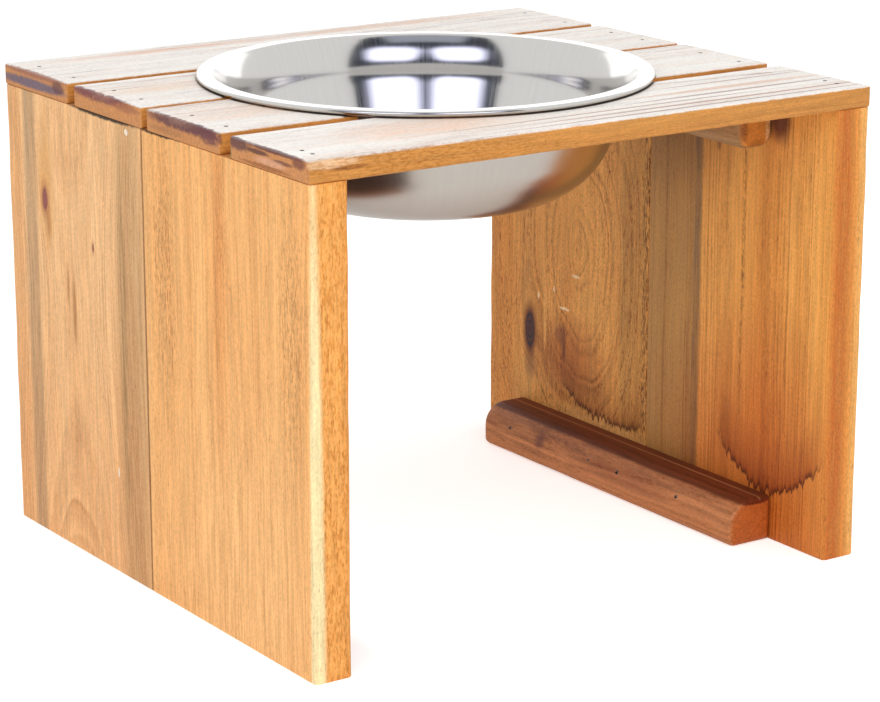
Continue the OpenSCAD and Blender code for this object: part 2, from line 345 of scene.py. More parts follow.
def rounded_section(width, height, radii, inset=0.0, corner_steps=5, flat_steps=12, side_steps=3):
    """A rounded rectangle's outline, anticlockwise from the middle of its left side.

    The radii are given anticlockwise from the lowest left corner. Point i mirrors point -i, so that
    an end can be closed by strips from the bottom to the top.
    """
    low, high, left, right = inset, height - inset, inset, width - inset
    radii = [max(r - inset, 0.15) for r in radii]
    centres = [(left + radii[0], low + radii[0]), (right - radii[1], low + radii[1]),
               (right - radii[2], high - radii[2]), (left + radii[3], high - radii[3])]
    arcs = []
    for i, ((x, y), r) in enumerate(zip(centres, radii)):
        angles = np.radians(np.linspace(180 + 90 * i, 270 + 90 * i, corner_steps + 1))
        arcs.append(np.stack([x + r * np.cos(angles), y + r * np.sin(angles)], 1))
    left_middle = np.array([left, (low + radii[0] + high - radii[3]) / 2])
    right_middle = np.array([right, (low + radii[1] + high - radii[2]) / 2])
    stops = [left_middle, arcs[0], arcs[1], right_middle, arcs[2], arcs[3], left_middle]
    steps = [side_steps, flat_steps, side_steps, side_steps, flat_steps, side_steps]
    outline = []
    for i, count in enumerate(steps):
        here, there = np.atleast_2d(stops[i]), np.atleast_2d(stops[i + 1])
        outline.extend(here)
        outline.extend(here[-1] + (there[0] - here[-1]) * k / count for k in range(1, count))
    return np.array(outline)


def closed_skin(name, rings, side_steps=3):
    """A closed mesh over rings of points in mm, its two ends filled by strips across the thickness."""
    rings = np.asarray(rings)
    stations, count = rings.shape[:2]
    faces = []
    for i in range(stations - 1):
        a, b = i * count, (i + 1) * count
        faces.extend((a + j, a + (j + 1) % count, b + (j + 1) % count, b + j) for j in range(count))
    half = count // 2
    for base, flip in ((0, True), ((stations - 1) * count, False)):
        cells = [[k % count for k in range(-side_steps - 1, side_steps + 2)]]
        cells += [[j, j + 1, count - j - 1, count - j]
                  for j in range(side_steps + 1, half - side_steps - 1)]
        cells.append([half + k for k in range(-side_steps - 1, side_steps + 2)])
        for cell in cells:
            face = [base + k for k in cell]
            faces.append(face[::-1] if flip else face)
    return mesh_object(name, rings.reshape(-1, 3), faces)


def mesh_object(name, points_mm, faces, sharp_degrees=32):
    """An object at the origin whose mesh holds the points, given in mm, with its normals outwards."""
    mesh = bpy.data.meshes.new(name)
    mesh.from_pydata((np.asarray(points_mm) * MM).tolist(), [], faces)
    work = bmesh.new()
    work.from_mesh(mesh)
    bmesh.ops.remove_doubles(work, verts=work.verts, dist=1e-7)
    bmesh.ops.recalc_face_normals(work, faces=work.faces)
    work.to_mesh(mesh)
    work.free()
    mesh.polygons.foreach_set("use_smooth", [True] * len(mesh.polygons))
    mesh.set_sharp_from_angle(angle=math.radians(sharp_degrees))
    mesh.update()
    made = bpy.data.objects.new(name, mesh)
    bpy.context.scene.collection.objects.link(made)
    return made


def eased_stations(low, high, ease_low, ease_high, steps, extra=(), ease_steps=4):
    """Places along a bar, each with its inset, so that both ends have a rounded edge."""
    turns = np.linspace(0, math.pi / 2, ease_steps + 1)[:-1]
    start = [(low + ease_low * (1 - math.cos(t)), ease_low * (1 - math.sin(t))) for t in turns]
    end = [(high - ease_high * (1 - math.cos(t)), ease_high * (1 - math.sin(t))) for t in turns]
    inner = sorted(set(np.round(np.linspace(low + ease_low, high - ease_high, steps + 1), 4)) |
                   {round(e, 4) for e in extra if low + ease_low < e < high - ease_high})
    return start + [(place, 0.0) for place in inner] + end[::-1]


def finish_piece(made, node_name, material):
    """Gives a wooden piece its finish, its body and the CAD node that it stands for."""
    made.data.materials.append(material)
    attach(made, STAND)
    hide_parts(node_name)


def hand_eased(radii, share, apart, a, b, wave_mm):
    """Edge radii that wander along a bar by a share of themselves, as hand sanding leaves them."""
    return [r * (1 + share * waver(i * apart, a, b, wave_mm)) for i, r in enumerate(radii)]


def board(node_name, radii, seam_side):
    """An upright side board: a rounded section in X and Y, swept upwards, its seam edge a little uneven."""
    foot_ease, top_ease = 0.7, 0.4
    seam_wear, seam_waver, wear_reach = 0.12, 0.1, 6.0
    (x0, y0, z0), (x1, y1, z1) = box_mm(node_name)
    rings = []
    for z, inset in eased_stations(z0, z1, foot_ease, top_ease, 60):
        hand = hand_eased(radii, 0.35, 37.0, y0, z, 23.0)
        outline = rounded_section(x1 - x0, y1 - y0, hand, inset, flat_steps=4, side_steps=8)
        outline += [x0, y0]
        edge = y1 if seam_side > 0 else y0
        near = np.clip(1 - np.abs(outline[:, 1] - edge) / wear_reach, 0, 1)
        outline[:, 1] -= seam_side * near * (seam_wear + seam_waver * waver(edge, 5.0, z, 17.0))
        rings.append(np.column_stack([outline, np.full(len(outline), z)]))
    return closed_skin(node_name + "_wood", rings, 8)


def cleat(node_name, radii):
    """A bar along Y with well rounded edges, its section in X and Z."""
    end_ease = 3.4
    (x0, y0, z0), (x1, y1, z1) = box_mm(node_name)
    side = LEFT if x0 < 0 else RIGHT
    rings = []
    for y, inset in eased_stations(y0, y1, end_ease, end_ease, 70):
        hand = hand_eased(radii, 0.12, 41.0, y, z0, 31.0)
        outline = rounded_section(x1 - x0, z1 - z0, hand, inset, corner_steps=8, flat_steps=6)
        # The CAD section is drawn for the right side; the left one is its mirror image
        x = x0 + outline[:, 0] if side == RIGHT else x1 - outline[:, 0]
        rings.append(np.column_stack([x, np.full(len(x), y), z0 + outline[:, 1]]))
    return closed_skin(node_name + "_wood", rings)


def hole_edge(offset):
    """Half the hole's width at an offset from the bowl's middle."""
    return math.sqrt(max(HOLE_R ** 2 - offset ** 2, 0.0))


def softer_minimum(a, b, blend):
    """The smaller of two values, rounded off where they cross."""
    share = min(max(0.5 + 0.5 * (b - a) / blend, 0.0), 1.0)
    return b * (1 - share) + a * share - blend * share * (1 - share)


def slat(node_name, cut_side=0, end_side=0):
    """A slat along X. cut_side is the long edge that the bowl's hole cuts, end_side the end it cuts."""
    (x0, y0, z0), (x1, y1, z1) = box_mm(node_name)
    radii = [SLAT_EDGE_R] * 4
    half_cut = hole_edge((y1 if cut_side > 0 else y0) - BOWL_Y)
    corners = [BOWL_X + side * (half_cut + d) for side in (LEFT, RIGHT) for d in np.linspace(-3, 3, 9)]
    inside = np.linspace(BOWL_X - half_cut, BOWL_X + half_cut, 61)
    extra = [*corners, *inside] if cut_side else []
    rings = []
    for x, inset in eased_stations(x0, x1, 0.9, 0.9, 90 if not end_side else 36, extra):
        low_y, high_y = y0, y1
        if cut_side and abs(x - BOWL_X) < half_cut + 4:
            reach = hole_edge(x - BOWL_X)
            if cut_side > 0:
                high_y = softer_minimum(y1, BOWL_Y - reach, 0.8)
            else:
                low_y = -softer_minimum(-y0, -(BOWL_Y + reach), 0.8)
        hand = hand_eased(radii, 0.4, 29.0, y0 * 3, x, 14.0)
        outline = rounded_section(high_y - low_y, z1 - z0, hand, inset, flat_steps=26)
        outline += [low_y, z0]
        outline[:, 0] += 0.15 * waver(x, y0, 9.0, 40.0) * (inset == 0)
        places = np.full(len(outline), float(x))
        if end_side:
            # The hole's end is an arc, so each line along the slat is stretched to reach it
            reach = np.array([hole_edge(y - BOWL_Y) for y in outline[:, 0]])
            share = (x - x0) / (x1 - x0)
            if end_side > 0:
                places = x0 + share * (BOWL_X - reach - x0)
            else:
                places = x1 - (1 - share) * (x1 - (BOWL_X + reach))
        rings.append(np.column_stack([places, outline]))
    return closed_skin(node_name + "_wood", rings)


def arc(centre, radius, start, end, steps):
    """Points of an arc in the bowl's section, angles in degrees."""
    angles = np.radians(np.linspace(start, end, steps + 1))
    return [(centre[0] + radius * math.cos(a), centre[1] + radius * math.sin(a)) for a in angles]


def bowl_section(rim_r, rim_z, base_z):
    """The pressed sheet's section: base, corner arc, straight wall, neck, lip, flat rim and rolled edge."""
    flange_w, bead_r, base_r, shoulder_r = 6.4, 1.35, 42.3, 1.6
    lip_h, lip_r, lip_lean, neck_r, wall_lean = 17.0, 33.0, 8.0, 29.0, 23.0

    def outward(lean):
        return np.array([math.cos(math.radians(lean)), -math.sin(math.radians(lean))])

    shoulder = np.array([rim_r - flange_w, rim_z - SHEET_T - shoulder_r])
    rise = lip_h - SHEET_T - shoulder_r + lip_r * math.sin(math.radians(lip_lean))
    mouth = math.degrees(math.asin(rise / (lip_r - shoulder_r)))
    lip = shoulder + (lip_r - shoulder_r) * outward(mouth)
    neck = lip - (lip_r + neck_r) * outward(lip_lean)
    wall_top = neck + neck_r * outward(wall_lean)
    corner_z = base_z + base_r
    lean = math.radians(wall_lean)
    corner = (wall_top[0] - (wall_top[1] - corner_z) * math.tan(lean) - base_r / math.cos(lean), corner_z)
    join = math.degrees(math.asin((bead_r - SHEET_T) / bead_r))
    flats = [(corner[0] * s, base_z) for s in (0.0, 0.15, 0.4, 0.7, 0.9)]
    outer = (arc(corner, base_r, -90, -wall_lean, 30) + arc(neck, neck_r, -wall_lean, -lip_lean, 8)
             + arc(lip, lip_r, 180 - lip_lean, 180 - mouth, 12)
             + arc(shoulder, shoulder_r, 180 - mouth, 90, 8))
    bead = arc((rim_r - bead_r, rim_z - bead_r), bead_r, 180 - join, 450, 20)
    inner = (arc(shoulder, shoulder_r + SHEET_T, 90, 180 - mouth, 8)
             + arc(lip, lip_r + SHEET_T, 180 - mouth, 180 - lip_lean, 12)
             + arc(neck, neck_r - SHEET_T, -lip_lean, -wall_lean, 8)
             + arc(corner, base_r - SHEET_T, -wall_lean, -90, 30))
    return flats + outer + bead + inner + [(x, z + SHEET_T) for x, z in flats[::-1]]


def steel_bowl(steel):
    """The bowl, spun as one sheet round its axis."""
    (x0, _, z0), (x1, _, z1) = box_mm("bowl")
    section = bowl_section((x1 - x0) / 2, z1, z0)
    turns = 240
    points, faces = [], []
    ring_at = []
    for r, z in section:
        if r < 1e-6:
            ring_at.append([len(points)] * turns)
            points.append((BOWL_X, BOWL_Y, z))
            continue
        ring_at.append(list(range(len(points), len(points) + turns)))
        for k in range(turns):
            a = 2 * math.pi * k / turns
            points.append((BOWL_X + r * math.cos(a), BOWL_Y + r * math.sin(a), z))
    for below, above in zip(ring_at, ring_at[1:]):
        for k in range(turns):
            n = (k + 1) % turns
            corners = [below[k], below[n], above[n], above[k]]
            faces.append(list(dict.fromkeys(corners)))
    made = mesh_object("bowl_steel", points, faces, 60)
    made.data.materials.append(steel)
    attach(made, BOWL)
    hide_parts("bowl")


def satin_steel():
    """Stainless steel pressed and satin polished: a soft mirror with fine lines up its wall."""
    material, tree, shader = new_material("satin_stainless_steel")
    place = add(tree, "TexCoord").outputs["Object"]
    centred = add(tree, "VectorMath", place, [-BOWL_X * MM, -BOWL_Y * MM, 0], operation="ADD")
    split = add(tree, "SeparateXYZ", centred)
    turn = add(tree, "Math", split.outputs["Y"], split.outputs["X"], operation="ARCTAN2")
    flat = add(tree, "VectorMath", centred, [1, 1, 0], operation="MULTIPLY")
    radius = add(tree, "VectorMath", flat, operation="LENGTH").outputs["Value"]
    # Lines 1.2 mm apart at the rim, up the wall, which the polishing pad leaves
    lines = add(tree, "CombineXYZ", turn, radius, split.outputs["Z"])
    lines = add(tree, "VectorMath", lines, [90, 22, 22], operation="MULTIPLY")
    lines = add(tree, "TexNoise", lines, named={"Scale": 1.0, "Detail": 4.0, "Roughness": 0.65})
    facing = add(tree, "SeparateXYZ", add(tree, "TexCoord").outputs["Normal"])
    # The outside is only satin finished, which leaves it less of a mirror than the inside; its tone is also
    # a little darker, painted shade for the shaded floor that it reflects
    inside = add(tree, "MapRange", facing.outputs["Z"], -0.06, 0.04, 0.0, 1.0)
    rough = add(tree, "MapRange", lines.outputs["Fac"], 0.3, 0.7, -0.03, 0.04)
    rough = add(tree, "Math", rough, add(tree, "MapRange", inside, 0.0, 1.0, 0.25, 1.0),
                operation="MULTIPLY")
    base = add(tree, "MapRange", inside, 0.0, 1.0, 0.24, 0.13)
    rough = add(tree, "Math", rough, base, operation="ADD")
    tree.links.new(output_of(rough), shader.inputs["Roughness"])
    tone = add(tree, "Mix", inside, named={6: linear("#c6c1b9"), 7: linear("#cfcdca")},
               data_type="RGBA")
    shade = add(tree, "MapRange", lines.outputs["Fac"], 0.3, 0.7, 0.97, 1.03)
    tone = add(tree, "VectorMath", tone, named={"Scale": output_of(shade)}, operation="SCALE")
    tree.links.new(output_of(tone), shader.inputs["Base Color"])
    depth = add(tree, "MapRange", inside, 0.0, 1.0, 0.0, 0.03)
    lumpy = add(tree, "Bump", depth, named={"Distance": 0.05 * MM, "Height": lines.outputs["Fac"]})
    tree.links.new(output_of(lumpy), shader.inputs["Normal"])
    shader.inputs["Metallic"].default_value = 1.0
    return material


def nail_tree():
    """Geometry Nodes that set a nail, head, shank and point, at each vertex of a mesh."""
    tree = bpy.data.node_groups.new("wire_nails", "GeometryNodeTree")
    face = tree.interface
    face.new_socket("Places", in_out="INPUT", socket_type="NodeSocketGeometry")
    for label in ("Shank diameter", "Length", "Head diameter", "Head thickness"):
        face.new_socket(label, in_out="INPUT", socket_type="NodeSocketFloat")
    face.new_socket("Turn", in_out="INPUT", socket_type="NodeSocketVector")
    face.new_socket("Finish", in_out="INPUT", socket_type="NodeSocketMaterial")
    face.new_socket("Nails", in_out="OUTPUT", socket_type="NodeSocketGeometry")
    given = add(tree, "NodeGroupInput").outputs
    head_r = add(tree, "Math", given["Head diameter"], 0.5, operation="MULTIPLY")
    shank_r = add(tree, "Math", given["Shank diameter"], 0.5, operation="MULTIPLY")
    worn_r = add(tree, "Math", head_r, 0.8, operation="MULTIPLY")
    crown = add(tree, "Math", given["Head thickness"], 0.25, operation="MULTIPLY")
    rest = add(tree, "Math", given["Head thickness"], 0.75, operation="MULTIPLY")
    tip = add(tree, "Math", given["Shank diameter"], 1.5, operation="MULTIPLY")
    shank = add(tree, "Math", given["Length"], tip, operation="SUBTRACT")
    parts = add(tree, "GeometryNodeJoinGeometry")
    # Each frustum: radius at its top, radius at its foot, its height and the depth of its foot
    pieces = [(worn_r, head_r, crown, crown), (head_r, head_r, rest, given["Head thickness"]),
              (shank_r, shank_r, shank, shank), (shank_r, 0.0, tip, given["Length"])]
    for top, foot, height, depth in pieces:
        cone = add(tree, "GeometryNodeMeshCone", named={"Vertices": 20, "Radius Top": top,
                                                         "Radius Bottom": foot, "Depth": height})
        drop = add(tree, "Math", depth, -1.0, operation="MULTIPLY")
        drop = add(tree, "CombineXYZ", named={"Z": drop})
        moved = add(tree, "GeometryNodeTransform", cone.outputs["Mesh"], named={"Translation": drop})
        tree.links.new(output_of(moved), parts.inputs[0])
    placed = add(tree, "GeometryNodeInstanceOnPoints", named={"Points": given["Places"], "Instance": parts,
                                                              "Rotation": given["Turn"]})
    real = add(tree, "GeometryNodeRealizeInstances", placed)
    finished = add(tree, "GeometryNodeSetMaterial", real, named={"Material": given["Finish"]})
    add(tree, "NodeGroupOutput", finished)
    return tree


def nails(tree, node_name, places_mm, turn, steel):
    """One group of nails as a plain mesh, in place of its CAD node."""
    seeds = bpy.data.meshes.new(node_name + "_places")
    seeds.from_pydata([[v * MM for v in place] for place in places_mm], [], [])
    maker = bpy.data.objects.new(node_name + "_places", seeds)
    bpy.context.scene.collection.objects.link(maker)
    modifier = maker.modifiers.new("nails", "NODES")
    modifier.node_group = tree
    values = {"Shank diameter": 1.6 * MM, "Length": 32 * MM, "Head diameter": 2.6 * MM,
              "Head thickness": 0.8 * MM, "Turn": turn, "Finish": steel}
    for item in tree.interface.items_tree:
        if item.name in values:
            modifier[item.identifier] = values[item.name]
    maker.update_tag()
    graph = bpy.context.evaluated_depsgraph_get()
    mesh = bpy.data.meshes.new_from_object(maker.evaluated_get(graph))
    bpy.data.objects.remove(maker)
    made = bpy.data.objects.new(node_name + "_wire", mesh)
    bpy.context.scene.collection.objects.link(made)
    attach(made, STAND)
    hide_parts(node_name)


def nail_steel():
    """Dull wire nails: dark grey steel with a rough, slightly rusty skin."""
    material, tree, shader = new_material("dull_wire_nail_steel")
    place = add(tree, "TexCoord").outputs["Object"]
    spots = add(tree, "TexNoise", place, named={"Scale": 900.0, "Detail": 3.0})
    level = grey_ramp(tree, spots.outputs["Fac"], [(0.35, 0.0), (0.65, 1.0)])
    colour = add(tree, "Mix", level, named={6: linear("#8f8a86"), 7: linear("#6d5a4e")},
                 data_type="RGBA")
    tree.links.new(output_of(colour), shader.inputs["Base Color"])
    shader.inputs["Metallic"].default_value = 0.8
    shader.inputs["Roughness"].default_value = 0.45
    return material


def painted_glare_top(top_z, light="#fffaf3", pinkish="#f7e0cc", line="#a3705a", shade="#cdb3aa"):
    """For the slats: their upper face is painted pale, near white, a painted highlight for the glare of
    bright light on it, and keeps its colour only in the grain.
    """
    def finish(tree, wood, colour, late, fibre, broad, pore):
        split = add(tree, "SeparateXYZ", wood)
        # Painted highlight: from just under the top face upwards the colour turns to the pale glare built
        # below
        level = add(tree, "Math", split.outputs["Z"], top_z, operation="SUBTRACT")
        level = add(tree, "Math", pore.outputs["Fac"], 0.9, level, operation="MULTIPLY_ADD")
        mask = add(tree, "MapRange", level, -0.35, 0.15, 0.0, 1.0)
        drift = stretched_noise(tree, wood, (120, 9, 9), top_z, Detail=3.0, Roughness=0.6)
        drift = add(tree, "MapRange", drift.outputs["Fac"], 0.4, 0.62, 0.0, 1.0)
        warm = add(tree, "MapRange", broad, 0.45, 1.0, 0.0, 0.6)
        thin = add(tree, "MapRange", fibre.outputs["Fac"], 0.42, 0.6, 0.2, 1.0)
        warm = add(tree, "Math", warm, thin, operation="MULTIPLY")
        glare_colour = add(tree, "Mix", warm, named={6: linear(light), 7: linear(pinkish)},
                       data_type="RGBA")
        dim = add(tree, "MapRange", fibre.outputs["Fac"], 0.58, 0.68, 0.0, 0.75)
        dim = add(tree, "Math", dim, drift, operation="MULTIPLY")
        glare_colour = add(tree, "Mix", dim, named={6: glare_colour, 7: linear(shade)}, data_type="RGBA")
        thin = add(tree, "MapRange", fibre.outputs["Fac"], 0.4, 0.58, 0.25, 1.0)
        deep = add(tree, "Math", late, thin, operation="MULTIPLY")
        often = add(tree, "MapRange", drift, 0.0, 1.0, 0.25, 1.0)
        deep = add(tree, "Math", deep, often, operation="MULTIPLY", use_clamp=True)
        glare_colour = add(tree, "Mix", deep, named={6: glare_colour, 7: linear(line)}, data_type="RGBA")
        speck = add(tree, "MapRange", pore.outputs["Fac"], 0.7, 0.76, 0.0, 0.6)
        glare_colour = add(tree, "Mix", speck, named={6: glare_colour, 7: linear("#7d6a60")}, data_type="RGBA")
        # Painted shadow: a near-black ring on the slats' top from the hole out to just past the rim's edge,
        # for the contact shadow under the bowl's rim
        from_bowl = add(tree, "VectorMath", wood, [-BOWL_X, -BOWL_Y, 0], operation="ADD")
        from_bowl = add(tree, "VectorMath", from_bowl, [1, 1, 0], operation="MULTIPLY")
        from_bowl = add(tree, "VectorMath", from_bowl, operation="LENGTH").outputs["Value"]
        under = add(tree, "MapRange", from_bowl, RIM_R - 0.4, RIM_R + 0.7, 0.95, 0.0)
        glare_colour = add(tree, "Mix", under, named={6: glare_colour, 7: linear("#2a1c14")}, data_type="RGBA")
        return add(tree, "Mix", mask, named={6: colour, 7: glare_colour}, data_type="RGBA")
    return finish


# Where the camera stood, fitted to the stand's corners in the photograph
CAMERA_AZIMUTH = -34.120
CAMERA_ELEVATION = 15.462
CAMERA_DISTANCE = 1.4679
CAMERA_TARGET = Vector((0.00627, -0.00006, 0.09239))
FOCAL_PX = 3026.3
PHOTO_WIDTH_PX = 880
SENSOR_MM = 36.0


def direction(azimuth, elevation):
    """A unit vector from the stand towards a place given by its azimuth and elevation."""
    a, e = math.radians(azimuth), math.radians(elevation)
    return Vector((math.sin(a) * math.cos(e), -math.cos(a) * math.cos(e), math.sin(e)))


def put_camera():
    data = bpy.data.cameras.new("camera")
    data.sensor_width = SENSOR_MM
    data.lens = FOCAL_PX * SENSOR_MM / PHOTO_WIDTH_PX
    camera = bpy.data.objects.new("camera", data)
    towards = direction(CAMERA_AZIMUTH, CAMERA_ELEVATION)
    camera.location = CAMERA_TARGET + towards * CAMERA_DISTANCE
    camera.rotation_euler = towards.to_track_quat("Z", "Y").to_euler()
    bpy.context.scene.collection.objects.link(camera)
    bpy.context.scene.camera = camera


LAMP_TARGET = Vector((0, 0, 0.21))
LAMP_DISTANCE = 1.3


def softbox(name, azimuth, elevation, width, height, radiance, distance=LAMP_DISTANCE, target=LAMP_TARGET):
    """A soft rectangular lamp that faces its target. Its picture in the steel is a panel of its own."""
    data = bpy.data.lights.new(name, "AREA")
    data.shape = "RECTANGLE"
    data.size = width
    data.size_y = height
    data.energy = radiance * math.pi * width * height
    lamp = bpy.data.objects.new(name, data)
    towards = direction(azimuth, elevation)
    lamp.location = target + towards * distance
    lamp.rotation_euler = towards.to_track_quat("Z", "Y").to_euler()
    lamp.visible_glossy = False
    bpy.context.scene.collection.objects.link(lamp)


def reflected_panel(name, azimuth, elevation, width, height, distance, hex_colour, strength, corner=0.3,
                    fade=0.02, edge_colour=None, top_share=1.0):
    """A panel that only reflections see, such as a lamp's soft face or the dim room round it.

    Its corners are rounded and it fades out towards its edge, both as shares of half its height, and
    top_share is the width of its top edge as a share of its bottom edge.
    """
    towards = direction(azimuth, elevation)
    turn = towards.to_track_quat("Z", "Y")
    centre = LAMP_TARGET + towards * distance
    corners = [(-1, -1), (1, -1), (1, 1), (-1, 1)]
    mesh = bpy.data.meshes.new(name)
    mesh.from_pydata([tuple(centre + turn @ Vector((x * width / 2 * (top_share if y > 0 else 1),
                                                    y * height / 2, 0)))
                      for x, y in corners], [], [(0, 1, 2, 3)])
    layer = mesh.uv_layers.new(name="UVMap")
    shape = width / height
    for loop, (x, y) in zip(layer.data, corners):
        loop.uv = (x * shape, y)
    panel = bpy.data.objects.new(name, mesh)
    bpy.context.scene.collection.objects.link(panel)
    material = bpy.data.materials.new(name)
    material.use_nodes = True
    tree = material.node_tree
    tree.nodes.clear()
    spot = add(tree, "TexCoord").outputs["UV"]
    spot = add(tree, "VectorMath", spot, operation="ABSOLUTE")
    spot = add(tree, "VectorMath", spot, [corner - shape, corner - 1, 0], operation="ADD")
    spot = add(tree, "VectorMath", spot, [0, 0, 0], operation="MAXIMUM")
    spot = add(tree, "VectorMath", spot, operation="LENGTH").outputs["Value"]
    solid = add(tree, "MapRange", spot, corner - fade, corner, 1.0, 0.0,
                interpolation_type="SMOOTHSTEP")
    rim = add(tree, "MapRange", spot, corner - 2 * fade, corner - 0.5 * fade, 0.0, 1.0)
    tint = add(tree, "Mix", rim,
               named={6: linear(hex_colour), 7: linear(edge_colour or hex_colour)}, data_type="RGBA")
    glow = add(tree, "Emission", tint, strength)
    clear = add(tree, "BsdfTransparent")
    shown = add(tree, "MixShader", solid, clear, glow)
    add(tree, "OutputMaterial", shown)
    mesh.materials.append(material)
    panel.visible_camera = False
    panel.visible_diffuse = False
    panel.visible_transmission = False
    panel.visible_shadow = False


def set_world(fill):
    """An even white surround: full white to the camera and in reflections, dimmer as light."""
    world = bpy.data.worlds.new("white_studio")
    bpy.context.scene.world = world
    world.use_nodes = True
    tree = world.node_tree
    tree.nodes.clear()
    path = add(tree, "LightPath").outputs
    seen = add(tree, "Math", path["Is Camera Ray"], path["Is Glossy Ray"], operation="MAXIMUM")
    seen = add(tree, "Math", seen, path["Is Transmission Ray"], operation="MAXIMUM")
    strength = add(tree, "MapRange", seen, 0.0, 1.0, fill, 1.0)
    sky = add(tree, "Background", (1, 1, 1, 1), strength)
    add(tree, "OutputWorld", sky)


def put_floor(camera_lift, reflected_lift, bounce):
    """A plain white floor that keeps the stand's soft shadow, with the light added for each kind of ray."""
    mesh = bpy.data.meshes.new("floor")
    reach = 6.0
    mesh.from_pydata([(-reach, -reach, 0), (reach, -reach, 0), (reach, reach, 0), (-reach, reach, 0)], [],
                     [(0, 1, 2, 3)])
    floor = bpy.data.objects.new("floor", mesh)
    bpy.context.scene.collection.objects.link(floor)
    material, tree, shader = new_material("white_paper_floor")
    path = add(tree, "LightPath").outputs
    seen = add(tree, "MapRange", path["Is Camera Ray"], 0.0, 1.0, reflected_lift, camera_lift)
    glow = add(tree, "Math", path["Is Diffuse Ray"], bounce - reflected_lift, seen,
               operation="MULTIPLY_ADD")
    shader.inputs["Base Color"].default_value = linear("#f4f4f4")
    shader.inputs["Roughness"].default_value = 0.9
    shader.inputs["Emission Color"].default_value = (1, 1, 1, 1)
    tree.links.new(output_of(glow), shader.inputs["Emission Strength"])
    mesh.materials.append(material)


put_camera()
bpy.context.scene.view_settings.view_transform = "Standard"
set_world(0.68)
put_floor(0.55, 0.2, 0.22)
softbox("left_softbox", -55, 34.5, 0.7, 0.75, 1.8)
softbox("right_softbox", -13, 34.5, 0.7, 0.75, 1.8)
softbox("bounce_under_the_top", -90, 0, 0.2, 0.15, 0.9, 0.1, Vector((-0.01, -0.05, 0.09)))
reflected_panel("dark_lamp_frame", -34, 45, 3.95, 1.75, 1.6, "#3d424d", 1.0, 0.1, 0.02, None, 0.385)
reflected_panel("glow_over_the_lamps", -34, 66, 1.0, 0.6, 1.5, "#b4bac8", 1.0, 0.5, 0.4)
reflected_panel("left_softbox_face", -56.2, 34.5, 0.83, 0.74, 1.3, "#ffffff", 2.4, 0.7, 0.35, "#c4c8ec")
reflected_panel("right_softbox_face", -11.8, 34.5, 0.83, 0.74, 1.3, "#ffffff", 2.4, 0.7, 0.35, "#c4c8ec")
reflected_panel("grey_front_room", -34, -3, 5.0, 1.45, 2.2, "#d3d1cf", 1.0, 0.1, 0.05)
reflected_panel("lit_backdrop", 146, 22, 5.0, 1.6, 2.6, "#ffffff", 1.7, 0.1, 0.05)

# The left side's outer face, the stand's front, and the sides' inner faces, in mm
(L_FACE, FRONT, _), (L_INNER, _, _) = box_mm("left_front_board")
R_INNER = -L_INNER
# Lower edges of the two scorched areas on the right side, as (across, along) in mm
SCORCH_FRONT = [(-138, 48), (-131, 41), (-119, 32), (-110, 26), (-100, 23.5), (-91, 24.4),
                (-81, 27), (-66, 36), (-56, 46)]
SCORCH_REAR = [(74, 39), (57.5, 31), (48.5, 27.5), (35, 26.5), (14, 27.5), (0, 30)]

left_rear = solid_wood(
    "oiled_pine_left_rear", "Z", (75, -212), 2.5, ("#fccb92", "#f0b57a", "#c4824a"), seed=1.0,
    rings=0.62, fibres=0.15, wander_mm=4, arch=(126, -8), speckle=0.45, marks=[
        stain((30, 80, L_FACE), (80, 76, 9), "#f4e0c8", 0.4, 0.8),
        stain((110, 116, L_FACE), (420, 6, 9), "#b4bccc", 0.85, 0.35, pattern="fibre"),
        stain((110, 134, L_FACE), (420, 9, 9), "#f0cfa4", 0.4, 0.5),
        stain((100, 17, L_FACE), (150, 14, 9), "#c4beb4", 0.95, 0.5, pattern="fibre"),
        stain((118, 26, L_FACE), (90, 3, 9), "#b7c3ba", 0.6, 0.5, pattern="fibre"),
        mark((178, 100, L_FACE), (28, 6.5, 6), "#dd9a48", 0.8, 0.7, pattern="fibre"),
        mark((158, 98, L_FACE), (8, 2.5, 6), "#c98a4a", 0.8, 0.6),
        mark((120, 74, L_FACE), (16, 1.6, 6), "#b4763c", 0.75, 0.6, 1),
        mark((131, 80, L_FACE), (9, 1.2, 6), "#b4763c", 0.7, 0.6, 1),
        mark((215, 18, L_FACE), (1.5, 1.5, 3), "#fff3e0", 0.9, 0.2, 0.5),
        mark((50, 34, L_FACE), (2.4, 0.6, 3), "#fff6ea", 0.9, 0.2, 0.2),
        mark((110, 4.3, L_FACE), (600, 0.5, 3), "#6e4020", 0.6, 0.5, 0.2),
        mark((219.4, 40, L_FACE), (1.7, 32, 3), "#1c0f08", 0.95, 0.3, 0.5),
        # Painted shade: the inner face is dark brown, for the shade inside the stand that the bowl's steel
        # reflects
        mark((110, 250, L_INNER), (900, 600, 5), "#48250f", 0.9, 0.2),
    ], knots=[
        dict(at=(169, 101.3, L_FACE), size=(6.6, 3.2, 12), tone="#8d4850", halo="#c07c48",
             halo_reach=2.1),
        dict(at=(154.5, 53.5, L_FACE), size=(2.4, 0.9, 8), tone="#6e2c2c", halo="#c98f63", push=0.4),
    ])
